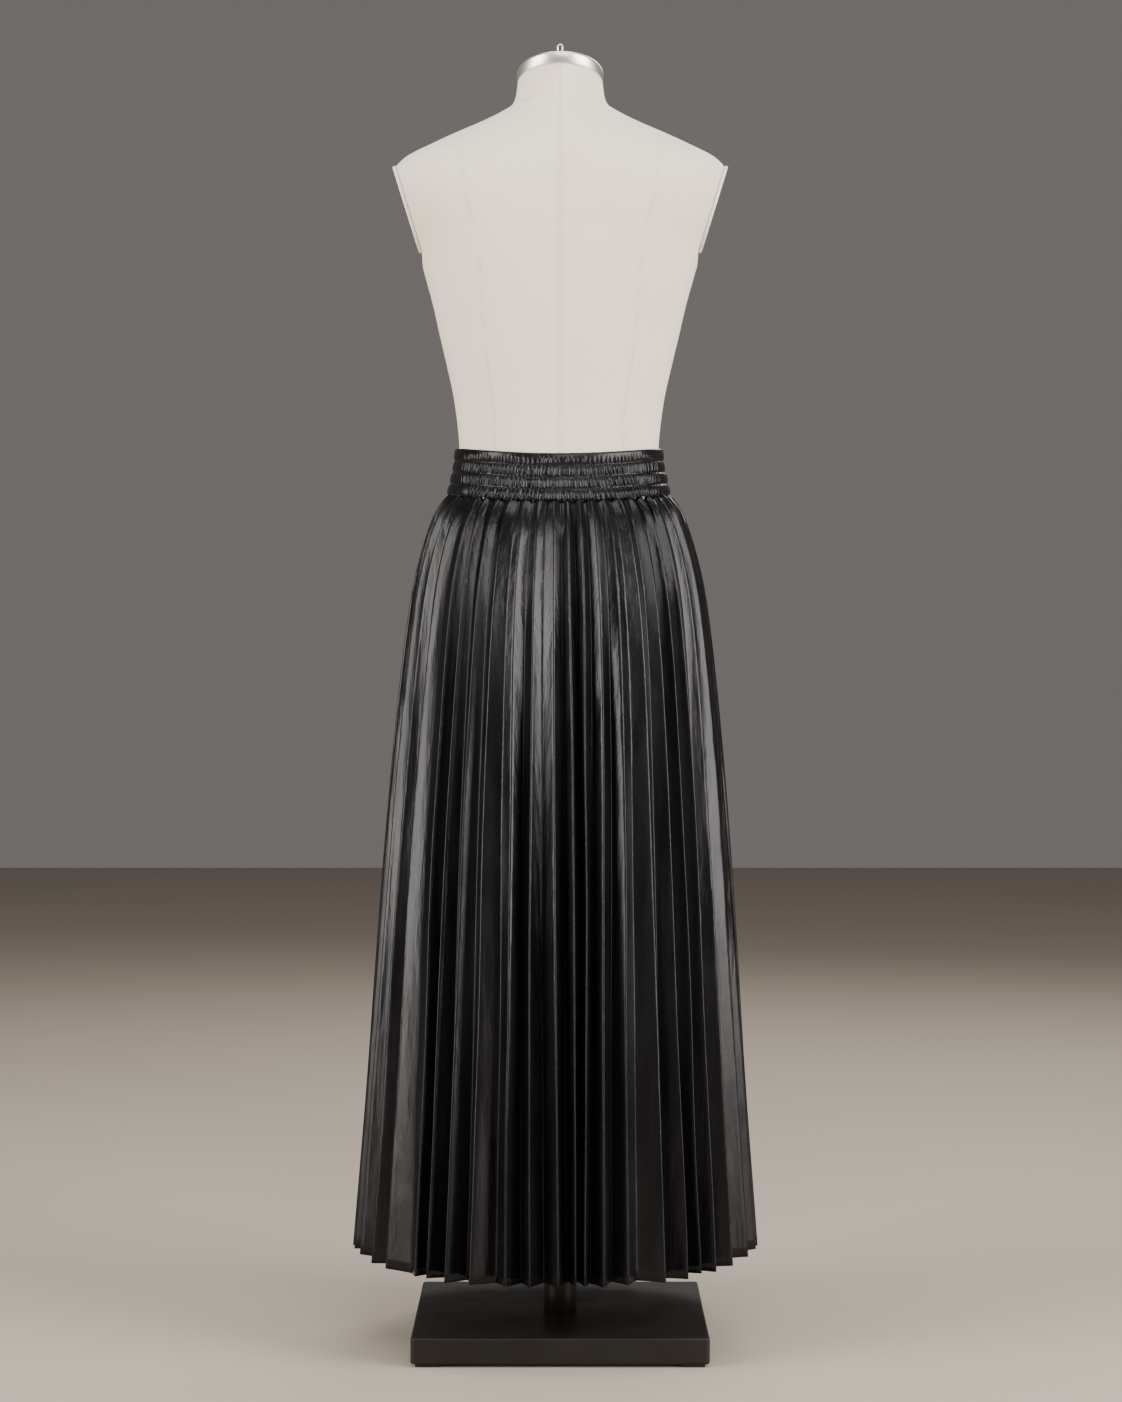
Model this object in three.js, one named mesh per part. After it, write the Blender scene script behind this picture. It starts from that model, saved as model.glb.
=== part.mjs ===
// Pleated maxi skirt on a limbless dress form and its square stand.
// Millimetres, +Z up. The origin is on the floor under the pole. The garment's back faces -Y.
import * as THREE from "three";

const gap = 0.3; // between two pieces that touch
const sideDrift = 0.0043; // the body and the skirt hang this share off plumb, towards -X
const plumbFrom = 1380; // height of the shoulders, where that drift begins
const ringSteps = 48; // facets round the form and the waistband

// ---------- the stand ----------
const base = { side: 338, thickness: 30, cornerRadius: 5, edgeRadius: 2.5, edgeSteps: 3 };
const foot = { side: 28, height: 4, inset: 5, cornerRadius: 3 };
const pole = { diameter: 38, steps: 40 };
const baseTop = foot.height + base.thickness;

// ---------- the form ----------
// A row for each level: half the width at the side, how far it reaches to the back and the front,
// how full its ring is (2 is an ellipse, more is squarer), how far its centre stands forward,
// and how steeply the ring rises towards the back.
const formLevels = [
  { height: 740, side: 148, back: 118, front: 100, full: 2.2, forward: 0, slant: 0 },
  { height: 780, side: 156, back: 124, front: 106, full: 2.2, forward: 0, slant: 0 },
  { height: 840, side: 159, back: 126, front: 109, full: 2.2, forward: 0, slant: 0 },
  { height: 900, side: 150, back: 117, front: 107, full: 2.15, forward: 0, slant: 0 },
  { height: 960, side: 135, back: 101, front: 102, full: 2.1, forward: 0, slant: 0 },
  { height: 990, side: 127.2, back: 93.5, front: 98.5, full: 2.05, forward: 0, slant: 0 },
  { height: 1010, side: 122.8, back: 89, front: 96, full: 2, forward: 0, slant: 0 },
  { height: 1030, side: 119, back: 85.5, front: 93.5, full: 2, forward: 0, slant: 0 },
  { height: 1050, side: 117.2, back: 84, front: 92, full: 2, forward: 0, slant: 0 },
  { height: 1072, side: 119, back: 84.5, front: 94, full: 2.05, forward: 0, slant: 0 },
  { height: 1107, side: 123.9, back: 88, front: 98, full: 2.1, forward: 0, slant: 0 },
  { height: 1142, side: 131.5, back: 92, front: 103, full: 2.15, forward: 0, slant: 0 },
  { height: 1178, side: 140, back: 96, front: 109, full: 2.2, forward: 0, slant: 0 },
  { height: 1213, side: 148, back: 99, front: 115, full: 2.3, forward: 0, slant: 0 },
  { height: 1248, side: 157.5, back: 102, front: 119, full: 2.35, forward: 0, slant: 0 },
  { height: 1276, side: 165.6, back: 103.6, front: 119, full: 2.39, forward: 0, slant: 0 },
  { height: 1284, side: 168, back: 104, front: 119, full: 2.4, forward: 0, slant: 0 },
  { height: 1319, side: 186, back: 104, front: 113, full: 2.45, forward: 0, slant: 0 },
  { height: 1350, side: 196, back: 101, front: 104, full: 2.5, forward: 0, slant: 0 },
  { height: 1372, side: 195, back: 96, front: 95, full: 2.45, forward: 1, slant: 0 },
  { height: 1386, side: 184, back: 90, front: 88, full: 2.4, forward: 2, slant: 0 },
  { height: 1402, side: 153, back: 82, front: 78, full: 2.3, forward: 3, slant: 0.03 },
  { height: 1413.5, side: 127.5, back: 75, front: 70, full: 2.2, forward: 4, slant: 0.06 },
  { height: 1425, side: 100, back: 67, front: 62, full: 2.1, forward: 6, slant: 0.1 },
  { height: 1436, side: 76, back: 59.5, front: 56, full: 2.05, forward: 8, slant: 0.15 },
  { height: 1447, side: 58.5, back: 54, front: 52, full: 2, forward: 10, slant: 0.2 },
  { height: 1459, side: 52.8, back: 51, front: 50.5, full: 2, forward: 12, slant: 0.26 },
  { height: 1477.5, side: 50, back: 49, front: 49, full: 2, forward: 14, slant: 0.32 },
];
// The armholes are cut flat: the plane is this far out at that height, and comes in below it
// down to the armhole's foot.
const armhole = { out: 189, atHeight: 1366.3, slope: 0.31, foot: 1276 };
const armPlate = { halfDepth: 40, halfHeight: 53, centreHeight: 1329, thickness: 4, edgeRadius: 1.2, steps: 36 };
const neckCap = { height: 15.5, overhang: 0.8, edgeRadius: 4.5, edgeSteps: 4 };
const capLoop = { width: 5.6, height: 31, wire: 1.6, steps: 8, sides: 8 };

// ---------- the waistband ----------
const waistTop = 1046.3; // its top edge at the side seams
const waistDip = { topBack: 10, topFront: 3, bottomBack: 11.5, bottomFront: 3 };
// A row for each level down the band: the share of its height, and how far the inside and
// the outside stand off the form. A heading, then three elastic channels.
const bandHeight = 53.8;
const bandLevels = [
  { share: 0, inside: 1.5, outside: 4.6 },
  { share: 0.03, inside: 1.5, outside: 5.4 },
  { share: 0.12, inside: 1.3, outside: 5.6 },
  { share: 0.22, inside: 0.9, outside: 4.9 },
  { share: 0.25, inside: 0.6, outside: 3.2 },
  { share: 0.3, inside: 0.6, outside: 4.4 },
  { share: 0.38, inside: 0.6, outside: 4.9 },
  { share: 0.46, inside: 0.6, outside: 4.3 },
  { share: 0.5, inside: 0.6, outside: 3.2 },
  { share: 0.54, inside: 0.6, outside: 4.7 },
  { share: 0.62, inside: 0.6, outside: 5.4 },
  { share: 0.71, inside: 0.6, outside: 4.6 },
  { share: 0.75, inside: 0.6, outside: 3.2 },
  { share: 0.8, inside: 0.6, outside: 4.8 },
  { share: 0.89, inside: 0.6, outside: 5.6 },
  { share: 0.96, inside: 0.6, outside: 4.8 },
  { share: 1, inside: 0.6, outside: 3.6 },
];

// ---------- the skirt ----------
const hemHeight = 104;
const clothThickness = 1;
const faceAtSeam = 11; // width of one pleat face where the panel meets the waistband
const faceAtHem = 31; // and at the hem: the cut fans out, so each face is a long wedge
// A row for each section down the panel, as a share of its length: how far the ridges stand out
// at the side, the back and the front, and how much of the fold's depth is open there.
const skirtLevels = [
  { share: 0, side: 131.5, back: 101, front: 104.5, open: 0.25 },
  { share: 0.01, side: 139, back: 109.5, front: 111, open: 0.5 },
  { share: 0.028, side: 149, back: 120, front: 119, open: 0.8 },
  { share: 0.07, side: 162.2, back: 135, front: 129.5, open: 1 },
  { share: 0.125, side: 173.5, back: 151, front: 141, open: 1 },
  { share: 0.2, side: 182.8, back: 165, front: 153, open: 1 },
  { share: 0.33, side: 194.8, back: 182, front: 174, open: 1 },
  { share: 0.51, side: 208.2, back: 202, front: 197, open: 1 },
  { share: 0.74, side: 222.6, back: 220, front: 217, open: 1 },
  { share: 1, side: 240, back: 236, front: 236, open: 1 },
];
// A row for each pleat of a panel: where its ridge hangs at the hem, in degrees from the
// side seam, and where the valley after it lies between this ridge and the next.
const pleats = [
  { ridge: 2, valley: 0.5 },
  { ridge: 8.5, valley: 0.45 },
  { ridge: 17.5, valley: 0.5 },
  { ridge: 27, valley: 0.5 },
  { ridge: 35.5, valley: 0.6 },
  { ridge: 48.5, valley: 0.5 },
  { ridge: 52.5, valley: 0.45 },
  { ridge: 58.5, valley: 0.5 },
  { ridge: 66.5, valley: 0.6 },
  { ridge: 76.5, valley: 0.5 },
  { ridge: 83, valley: 0.45 },
  { ridge: 91, valley: 0.55 },
  { ridge: 95.5, valley: 0.5 },
  { ridge: 98, valley: 0.5 },
  { ridge: 103, valley: 0.55 },
  { ridge: 110, valley: 0.4 },
  { ridge: 121, valley: 0.45 },
  { ridge: 129, valley: 0.5 },
  { ridge: 134, valley: 0.5 },
  { ridge: 140, valley: 0.55 },
  { ridge: 148.5, valley: 0.5 },
  { ridge: 159, valley: 0.5 },
  { ridge: 169.5, valley: 0.55 },
  { ridge: 177, valley: 0.5 },
];
const unevenAtSeam = 0.4; // share of that unevenness at the waist; all of it shows at the hem
const shallowestFold = 0.35; // of a face's width, where the cloth is pulled nearly flat
const seamLevel = 0.55; // how deep in the fold the side seams run
const longestMitre = 2.6;

// ---------- finishes ----------
const finish = (color, roughness, metalness = 0) =>
  new THREE.MeshStandardMaterial({ color, roughness, metalness });
const coatedCloth = finish(0x17161a, 0.38);
const linen = finish(0xeee5d8, 0.9);
const polishedMetal = finish(0xd8d6d2, 0.25, 1);
const ivoryPaint = finish(0xf0e8dc, 0.6);
const blackPaint = finish(0x1c1a19, 0.45, 0.3);
const rubber = finish(0x111111, 0.9);

// ---------- helpers ----------
const mix = THREE.MathUtils.lerp;
const radians = THREE.MathUtils.degToRad;

// The row at a place in a table, worked out between its neighbours on the named column.
function rowAt(rows, column, place) {
  const next = rows.findIndex((row) => row[column] >= place);
  if (next === 0) return rows[0];
  if (next < 0) return rows[rows.length - 1];
  const [low, high] = [rows[next - 1], rows[next]];
  const part = (place - low[column]) / (high[column] - low[column]);
  return Object.fromEntries(Object.keys(low).map((key) => [key, mix(low[key], high[key], part)]));
}

const drift = (height) => -sideDrift * Math.max(0, plumbFrom - height);

// A point round a level: 0 is the -X side, a quarter turn is the back, a half turn the +X side.
function roundPoint(level, turn, height, out = 0) {
  const depth = Math.sin(turn) > 0 ? level.back : level.front;
  const fill = (wave) => Math.sign(wave) * Math.abs(wave) ** (2 / (level.full ?? 2));
  const along = new THREE.Vector2(-level.side * fill(Math.cos(turn)), -depth * fill(Math.sin(turn)));
  const outward = new THREE.Vector2(-depth * Math.cos(turn), -level.side * Math.sin(turn)).normalize();
  return new THREE.Vector3(
    drift(height) + along.x + outward.x * out,
    (level.forward ?? 0) + along.y + outward.y * out,
    height,
  );
}

// A closed mesh from corner points and triangles, its faces turned outwards.
function closedGeometry(points, triangles) {
  let volume = 0;
  for (const [a, b, c] of triangles)
    volume += points[a].dot(new THREE.Vector3().crossVectors(points[b], points[c]));
  const turned = volume < 0 ? triangles.map(([a, b, c]) => [a, c, b]) : triangles;
  const geometry = new THREE.BufferGeometry().setFromPoints(points);
  geometry.setIndex(turned.flat());
  geometry.computeVertexNormals();
  return geometry;
}

// A solid through closed rings of as many points each, with a fan over both ends.
function loftSolid(rings) {
  const count = rings[0].length;
  const points = rings.flat();
  const triangles = [];
  for (let level = 0; level < rings.length - 1; level++)
    for (let i = 0; i < count; i++) {
      const a = level * count + i;
      const b = level * count + ((i + 1) % count);
      triangles.push([a, b, b + count], [a, b + count, a + count]);
    }
  [rings[0], rings[rings.length - 1]].forEach((ring, end) => {
    const centre = ring.reduce((sum, p) => sum.add(p), new THREE.Vector3()).divideScalar(count);
    const first = end * (rings.length - 1) * count;
    points.push(centre);
    for (let i = 0; i < count; i++) {
      const edge = [first + i, first + ((i + 1) % count)];
      triangles.push([points.length - 1, ...(end ? edge : edge.reverse())]);
    }
  });
  return closedGeometry(points, triangles);
}

// A wall through sections, each with an outer and an inner line of as many points.
function loftWall(sections) {
  const count = sections[0].outer.length;
  const points = sections.flatMap((section) => [...section.outer, ...section.inner]);
  const outer = (level, i) => level * 2 * count + i;
  const inner = (level, i) => outer(level, i) + count;
  const triangles = [];
  const quad = (a, b, c, d) => triangles.push([a, b, c], [a, c, d]);
  for (let level = 0; level < sections.length - 1; level++) {
    const next = level + 1;
    for (let i = 0; i < count - 1; i++) {
      quad(outer(level, i), outer(level, i + 1), outer(next, i + 1), outer(next, i));
      // the same diagonal as outside, so that the wall keeps its thickness
      triangles.push([inner(level, i), inner(next, i + 1), inner(level, i + 1)]);
      triangles.push([inner(level, i), inner(next, i), inner(next, i + 1)]);
    }
    quad(inner(level, 0), outer(level, 0), outer(next, 0), inner(next, 0));
    quad(outer(level, count - 1), inner(level, count - 1), inner(next, count - 1), outer(next, count - 1));
  }
  const last = sections.length - 1;
  for (let i = 0; i < count - 1; i++) {
    quad(inner(0, i), inner(0, i + 1), outer(0, i + 1), outer(0, i));
    quad(outer(last, i), outer(last, i + 1), inner(last, i + 1), inner(last, i));
  }
  return closedGeometry(points, triangles);
}

const model = new THREE.Group();
function add(name, geometry, material, parent = model) {
  const mesh = new THREE.Mesh(geometry, material);
  mesh.name = name;
  parent.add(mesh);
  return mesh;
}

// ---------- stand ----------
function roundedSquare(side, radius) {
  const half = side / 2;
  const shape = new THREE.Shape();
  shape.moveTo(-half + radius, -half);
  shape.lineTo(half - radius, -half).absarc(half - radius, -half + radius, radius, -Math.PI / 2, 0);
  shape.lineTo(half, half - radius).absarc(half - radius, half - radius, radius, 0, Math.PI / 2);
  shape.lineTo(-half + radius, half).absarc(-half + radius, half - radius, radius, Math.PI / 2, Math.PI);
  shape.lineTo(-half, -half + radius).absarc(-half + radius, -half + radius, radius, Math.PI, 1.5 * Math.PI);
  return shape;
}

function buildStand() {
  const plate = new THREE.ExtrudeGeometry(
    roundedSquare(base.side - 2 * base.edgeRadius, base.cornerRadius - base.edgeRadius),
    {
      depth: base.thickness - 2 * base.edgeRadius,
      bevelThickness: base.edgeRadius,
      bevelSize: base.edgeRadius,
      bevelSegments: base.edgeSteps,
      curveSegments: base.edgeSteps,
    },
  );
  add("base_plate", plate, blackPaint).position.z = foot.height + base.edgeRadius;
  const reach = base.side / 2 - foot.inset - foot.side / 2;
  [[-1, -1], [1, -1], [1, 1], [-1, 1]].forEach(([x, y], i) => {
    const pad = new THREE.ExtrudeGeometry(roundedSquare(foot.side, foot.cornerRadius), {
      depth: foot.height - gap,
      bevelEnabled: false,
      curveSegments: base.edgeSteps,
    });
    add(`base_foot_${i + 1}`, pad, rubber).position.set(x * reach, y * reach, 0);
  });
  const poleHeight = formLevels[0].height - baseTop - 2 * gap;
  const tube = new THREE.CylinderGeometry(pole.diameter / 2, pole.diameter / 2, poleHeight, pole.steps);
  const mesh = add("stand_pole", tube.rotateX(Math.PI / 2), blackPaint);
  mesh.position.z = baseTop + gap + poleHeight / 2;
}

// ---------- form ----------
const armholeOut = (height) => armhole.out - armhole.slope * (armhole.atHeight - height);

function formRing(level, out = 0, rise = 0) {
  const ring = [];
  for (let i = 0; i < ringSteps; i++) {
    const p = roundPoint(level, (i * 2 * Math.PI) / ringSteps, level.height, out);
    const limit = armholeOut(Math.max(level.height, armhole.foot));
    p.x = THREE.MathUtils.clamp(p.x, -limit, limit);
    p.z += rise - level.slant * (p.y - level.forward);
    ring.push(p);
  }
  return ring;
}

function buildForm() {
  add("form_torso", loftSolid(formLevels.map((level) => formRing(level))), linen);

  const neckTop = formLevels[formLevels.length - 1];
  const capRings = [formRing(neckTop, neckCap.overhang, gap)];
  for (let i = 0; i <= neckCap.edgeSteps; i++) {
    const turn = (i / neckCap.edgeSteps) * (Math.PI / 2);
    const inset = neckCap.edgeRadius * (1 - Math.cos(turn));
    const rise = neckCap.height - neckCap.edgeRadius * (1 - Math.sin(turn));
    capRings.push(formRing(neckTop, neckCap.overhang - inset, gap + rise));
  }
  add("neck_cap", loftSolid(capRings), polishedMetal);

  const loopFoot = neckTop.height + neckCap.height + 2 * gap + (capLoop.wire / 2) * neckTop.slant;
  const half = capLoop.width / 2;
  const path = new THREE.CurvePath();
  path.add(new THREE.LineCurve3(new THREE.Vector3(-half, 0, 0), new THREE.Vector3(-half, 0, capLoop.height - half)));
  const bend = [];
  for (let i = 0; i <= capLoop.steps; i++) {
    const turn = Math.PI * (1 - i / capLoop.steps);
    bend.push(new THREE.Vector3(half * Math.cos(turn), 0, capLoop.height - half + half * Math.sin(turn)));
  }
  path.add(new THREE.CatmullRomCurve3(bend));
  path.add(new THREE.LineCurve3(new THREE.Vector3(half, 0, capLoop.height - half), new THREE.Vector3(half, 0, 0)));
  const wire = new THREE.Shape().absarc(0, 0, capLoop.wire / 2, 0, 2 * Math.PI);
  const loop = new THREE.ExtrudeGeometry(wire, {
    extrudePath: path,
    steps: 4 * capLoop.steps,
    curveSegments: capLoop.sides / 2,
  });
  add("cap_loop", loop, polishedMetal).position.set(drift(loopFoot), neckTop.forward, loopFoot);

  for (const [name, side] of [["arm_plate_left", -1], ["arm_plate_right", 1]]) {
    const oval = new THREE.Shape().absellipse(
      0, 0, armPlate.halfDepth - armPlate.edgeRadius, armPlate.halfHeight - armPlate.edgeRadius, 0, 2 * Math.PI,
    );
    const plate = new THREE.ExtrudeGeometry(oval, {
      depth: armPlate.thickness - 2 * armPlate.edgeRadius,
      bevelThickness: armPlate.edgeRadius,
      bevelSize: armPlate.edgeRadius,
      bevelSegments: 2,
      curveSegments: armPlate.steps / 2,
    });
    plate.translate(0, 0, armPlate.edgeRadius + gap);
    const mesh = add(name, plate, ivoryPaint);
    const tilt = Math.atan(armhole.slope);
    mesh.position.set(side * armholeOut(armPlate.centreHeight), 0, armPlate.centreHeight);
    mesh.quaternion.setFromRotationMatrix(
      new THREE.Matrix4().makeBasis(
        new THREE.Vector3(0, side, 0),
        new THREE.Vector3(side * Math.sin(tilt), 0, Math.cos(tilt)),
        new THREE.Vector3(side * Math.cos(tilt), 0, -Math.sin(tilt)),
      ),
    );
  }
}

// ---------- waistband ----------
const dip = (turn, back, front) => (Math.sin(turn) > 0 ? back : front) * Math.sin(turn) ** 2;
const bandTopAt = (turn) => waistTop - dip(turn, waistDip.topBack, waistDip.topFront);
const bandBottomAt = (turn) =>
  waistTop - bandHeight - dip(turn, waistDip.bottomBack, waistDip.bottomFront);

// A point of the band or a panel, set on the cut at the side seam where the line begins or ends.
function toSeam(point, side) {
  point.y = (side * gap) / 2;
  return point;
}

function buildWaistband(name, firstTurn, side) {
  const steps = ringSteps / 2;
  const sections = bandLevels.map((bandLevel) => {
    const line = (out) =>
      Array.from({ length: steps + 1 }, (_, i) => {
        const turn = firstTurn + (i * Math.PI) / steps;
        const height = mix(bandTopAt(turn), bandBottomAt(turn), bandLevel.share);
        const point = roundPoint(rowAt(formLevels, "height", height), turn, height, out);
        return i === 0 || i === steps ? toSeam(point, side) : point;
      });
    return { outer: line(bandLevel.outside), inner: line(bandLevel.inside) };
  });
  add(name, loftWall(sections), coatedCloth);
}

// ---------- pleated panels ----------
// Each pleat's ridge, in radians from the side seam, at a share of the panel's length.
function ridgeTurns(share) {
  const uneven = mix(unevenAtSeam, 1, share);
  return pleats.map(({ ridge }, i) => {
    const even = ((i + 0.5) * 180) / pleats.length;
    return radians(mix(even, ridge, uneven));
  });
}

// How deep the cloth folds between two ridges this far apart, its faces being of one width.
function foldDepth(apart, face, open) {
  const lean = apart / 2 / face;
  return face * open * Math.sqrt(Math.max(1 - lean * lean, shallowestFold ** 2));
}

// The middle of the cloth at a section, as a zigzag from one side seam to the other.
function pleatLine(level, firstTurn) {
  const face = mix(faceAtSeam, faceAtHem, level.share);
  const turns = ridgeTurns(level.share);
  const place = (turn, inward) => {
    const whole = firstTurn + turn;
    const height = mix(bandBottomAt(whole) - gap, hemHeight, level.share);
    return roundPoint(level, whole, height, -inward);
  };
  const inset = clothThickness; // keeps the ridges' outer corners on the stated width
  const points = [place(0, inset + face * level.open * seamLevel)];
  turns.forEach((turn, i) => {
    points.push(place(turn, inset));
    if (i === turns.length - 1) return;
    const valley = mix(turn, turns[i + 1], pleats[i].valley);
    const apart = place(turn, 0).distanceTo(place(turns[i + 1], 0));
    points.push(place(valley, inset + foldDepth(apart, face, level.open)));
  });
  points.push(place(Math.PI, inset + face * level.open * seamLevel));
  return points;
}

// The same line moved out by a distance, with mitred corners and both ends kept on the seam.
function movedOut(points, distance, side) {
  const normals = points.slice(1).map((p, i) => {
    const along = new THREE.Vector2(p.x - points[i].x, p.y - points[i].y).normalize();
    return new THREE.Vector2(along.y, -along.x);
  });
  return points.map((p, i) => {
    const [before, after] = [normals[i - 1], normals[i]];
    if (!before || !after) {
      const only = before ?? after;
      const moved = p.clone();
      moved.x += distance / only.x;
      return toSeam(moved, side);
    }
    const sum = before.clone().add(after);
    sum.divideScalar(Math.max(1 + before.dot(after), 1e-6)).clampLength(0, longestMitre);
    return new THREE.Vector3(p.x + sum.x * distance, p.y + sum.y * distance, p.z);
  });
}

function buildPanel(name, firstTurn, side) {
  const sections = skirtLevels.map((level) => {
    const middle = pleatLine(level, firstTurn);
    return {
      outer: movedOut(middle, clothThickness / 2, side),
      inner: movedOut(middle, -clothThickness / 2, side),
    };
  });
  add(name, loftWall(sections), coatedCloth);
}

// ---------- assembly ----------
buildStand();
buildForm();
buildWaistband("waistband_back", 0, -1);
buildWaistband("waistband_front", Math.PI, 1);
buildPanel("skirt_back_panel", 0, -1);
buildPanel("skirt_front_panel", Math.PI, 1);

export default model;
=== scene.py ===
# Pleated maxi skirt on a limbless dress form: the looks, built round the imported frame.
import math

import bmesh
import bpy
import numpy as np
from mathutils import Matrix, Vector


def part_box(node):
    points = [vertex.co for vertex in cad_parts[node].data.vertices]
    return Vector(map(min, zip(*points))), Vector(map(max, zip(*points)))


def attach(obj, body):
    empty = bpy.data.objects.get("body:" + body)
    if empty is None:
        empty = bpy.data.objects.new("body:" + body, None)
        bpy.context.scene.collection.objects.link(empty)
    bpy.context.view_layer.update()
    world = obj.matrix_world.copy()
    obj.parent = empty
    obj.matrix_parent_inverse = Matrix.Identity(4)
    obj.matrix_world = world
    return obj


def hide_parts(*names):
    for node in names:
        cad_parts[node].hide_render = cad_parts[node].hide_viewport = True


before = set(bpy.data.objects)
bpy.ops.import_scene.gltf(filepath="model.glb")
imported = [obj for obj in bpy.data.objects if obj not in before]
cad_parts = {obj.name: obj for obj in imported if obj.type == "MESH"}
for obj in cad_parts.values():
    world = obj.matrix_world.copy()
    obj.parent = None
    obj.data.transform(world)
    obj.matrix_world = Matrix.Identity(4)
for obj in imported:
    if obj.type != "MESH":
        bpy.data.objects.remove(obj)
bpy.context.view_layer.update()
scene = bpy.context.scene
gap = 0.0003  # between two pieces that touch


# Camera, floor and light.
shot = {
    "distance": 3.769,  # from the pole to the lens
    "eyeHeight": 0.786,
    "aside": 0.001,
    "lens": 82.2,
    "tiltDown": 0.54,  # degrees
    "frameHeight": 36,  # of the film, in millimetres, as the lens is
}


def makeCamera():
    data = bpy.data.cameras.new("shotCamera")
    data.sensor_fit = "VERTICAL"
    data.sensor_height = shot["frameHeight"]
    data.lens = shot["lens"]
    camera = bpy.data.objects.new("shotCamera", data)
    scene.collection.objects.link(camera)
    camera.location = (shot["aside"], -shot["distance"], shot["eyeHeight"])
    camera.rotation_euler = (math.radians(90 - shot["tiltDown"]), 0, 0)
    scene.camera = camera


# A row for each soft light: where it stands, what it is aimed at, how wide and tall it is.
lights = [
    {"name": "keyLight", "at": (2.9, -1.8, 1.7), "to": (0, 0, 0.85), "size": (2.0, 2.9), "watts": 225},
    {"name": "sideLight", "at": (-2.9, -1.7, 1.6), "to": (0, 0, 0.8), "size": (1.7, 2.9), "watts": 180},
    {"name": "frontLight", "at": (0.5, -4.4, 3.5), "to": (0, 0, 1.0), "size": (2.4, 1.5), "watts": 95},
    {"name": "topLight", "at": (0, -0.6, 3.9), "to": (0, 0, 0.9), "size": (2.2, 1.6), "watts": 50},
    {"name": "backLight", "at": (0.9, 3.0, 3.1), "to": (0, 0, 0.9), "size": (2.6, 1.6), "watts": 75},
]
lightColor = (1.0, 0.965, 0.925)
surroundings = {
    "color": (0.80, 0.755, 0.71, 1),
    "strength": 0.2,
    "floorSize": 9,
    "floorColors": ((0.41, 0.36, 0.305, 1), (0.44, 0.385, 0.33, 1)),
}


def makeLights():
    for row in lights:
        data = bpy.data.lights.new(row["name"], "AREA")
        data.shape = "RECTANGLE"
        data.size, data.size_y = row["size"]
        data.energy = row["watts"]
        data.color = lightColor
        lamp = bpy.data.objects.new(row["name"], data)
        lamp.location = row["at"]
        aim = Vector(row["to"]) - Vector(row["at"])
        lamp.rotation_euler = aim.to_track_quat("-Z", "Y").to_euler()
        scene.collection.objects.link(lamp)
    world = bpy.data.worlds.new("studio")
    world.use_nodes = True
    backdrop = world.node_tree.nodes["Background"]
    backdrop.inputs["Color"].default_value = surroundings["color"]
    backdrop.inputs["Strength"].default_value = surroundings["strength"]
    scene.world = world


# Shader tools.
class Signal:
    # A socket that carries a number, so that sums are written as sums.
    def __init__(self, tree, socket):
        self.tree, self.socket = tree, socket

    def combine(self, operation, other=None, swapped=False):
        node = self.tree.nodes.new("ShaderNodeMath")
        node.operation = operation
        values = [self] if other is None else [other, self] if swapped else [self, other]
        for port, value in zip(node.inputs, values):
            if isinstance(value, Signal):
                self.tree.links.new(value.socket, port)
            else:
                port.default_value = value
        return Signal(self.tree, node.outputs[0])

    def __add__(self, other):
        return self.combine("ADD", other)

    def __radd__(self, other):
        return self.combine("ADD", other, True)

    def __sub__(self, other):
        return self.combine("SUBTRACT", other)

    def __rsub__(self, other):
        return self.combine("SUBTRACT", other, True)

    def __mul__(self, other):
        return self.combine("MULTIPLY", other)

    def __rmul__(self, other):
        return self.combine("MULTIPLY", other, True)

    def sine(self):
        return self.combine("SINE")


class Finish:
    # A material with its shader, and one method that adds any other node.
    def __init__(self, name, **fixed):
        self.material = bpy.data.materials.new(name)
        self.material.use_nodes = True
        self.tree = self.material.node_tree
        self.shader = self.tree.nodes["Principled BSDF"]
        for key, value in fixed.items():
            self.shader.inputs[key].default_value = value

    def node(self, kind, settings=None, **values):
        made = self.tree.nodes.new(kind)
        for key, value in (settings or {}).items():
            setattr(made, key, value)
        for key, value in values.items():
            port = made.inputs[int(key[4:])] if key.startswith("port") else made.inputs[key]
            source = value.socket if isinstance(value, Signal) else value
            if isinstance(source, bpy.types.NodeSocket):
                self.tree.links.new(source, port)
            else:
                port.default_value = source
        return made

    def place(self, source="Object", scale=(1, 1, 1)):
        origin = self.node("ShaderNodeTexCoord").outputs[source]
        return self.node("ShaderNodeMapping", Vector=origin, Scale=scale).outputs[0]

    def noise(self, vector, scale, detail=3.0, roughness=0.5):
        made = self.node("ShaderNodeTexNoise", Vector=vector, Scale=scale, Detail=detail,
                         Roughness=roughness)
        return Signal(self.tree, made.outputs[0])

    def axes(self, vector):
        made = self.node("ShaderNodeSeparateXYZ", Vector=vector)
        return [Signal(self.tree, port) for port in made.outputs]

    def stretch(self, signal, low, high, toLow, toHigh):
        made = self.node("ShaderNodeMapRange", Value=signal)
        ends = {"From Min": low, "From Max": high, "To Min": toLow, "To Max": toHigh}
        for port, value in ends.items():
            made.inputs[port].default_value = value
        return Signal(self.tree, made.outputs[0])

    def blend(self, factor, first, second):
        made = self.node("ShaderNodeMix", {"data_type": "RGBA"}, port0=factor, port6=first, port7=second)
        return made.outputs[2]

    def bump(self, height, distance, strength=1.0, under=None):
        made = self.node("ShaderNodeBump", Height=height, Distance=distance, Strength=strength)
        if under is not None:
            self.tree.links.new(under, made.inputs["Normal"])
        return made.outputs[0]

    def feed(self, **ports):
        for key, value in ports.items():
            source = value.socket if isinstance(value, Signal) else value
            self.tree.links.new(source, self.shader.inputs[key.replace("_", " ")])
        return self.material


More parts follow.
